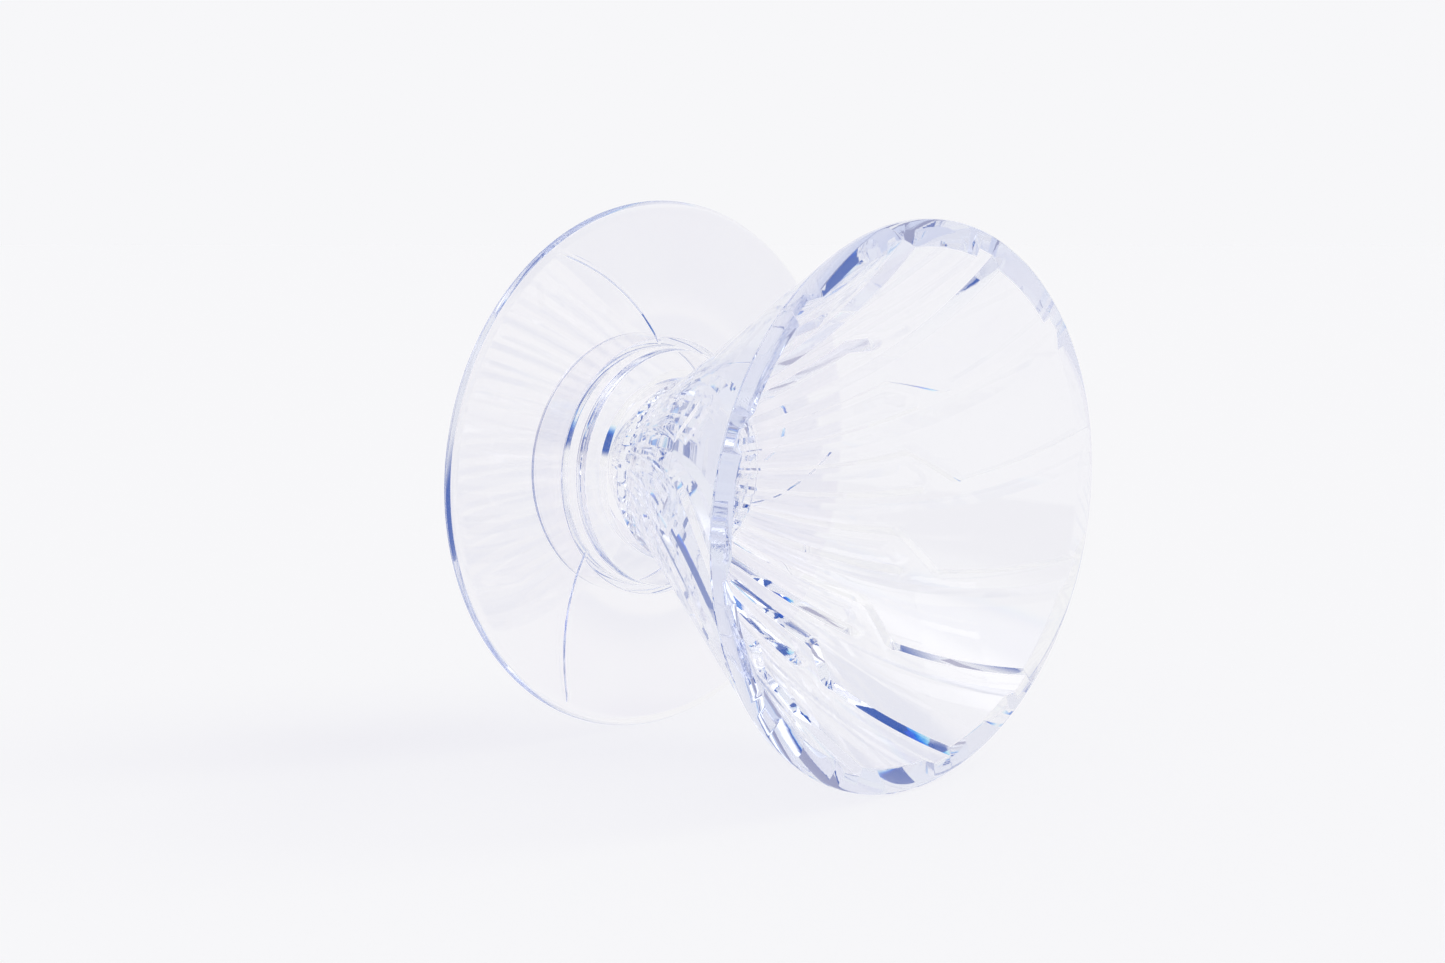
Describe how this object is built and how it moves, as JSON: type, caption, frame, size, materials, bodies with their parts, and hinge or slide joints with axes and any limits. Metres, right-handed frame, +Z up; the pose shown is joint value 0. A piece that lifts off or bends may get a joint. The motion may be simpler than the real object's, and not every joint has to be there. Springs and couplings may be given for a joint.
{
  "type": "pour over dripper",
  "caption": "Clear plastic pour over coffee dripper: a swirl-ribbed cone whose neck plugs into a wide round base that sits on a server.",
  "frame": {"origin": "centre of the flange's flat underside, which rests on the server, on the cone's axis", "axes": "+Z up the cone's axis, from the outlet to the rim"},
  "size_m": [0.1194, 0.1194, 0.088],
  "materials": {
    "clear_body": "clear, polished"
  },
  "bodies": {
    "base": {"base": "clear_body"},
    "cone": {"cone": "clear_body"}
  },
  "joints": [
    {"name": "cone_lift", "type": "slide", "parent": "base", "child": "cone", "axis": [0, 0, 1], "range_m": [0, 0.03]}
  ]
}
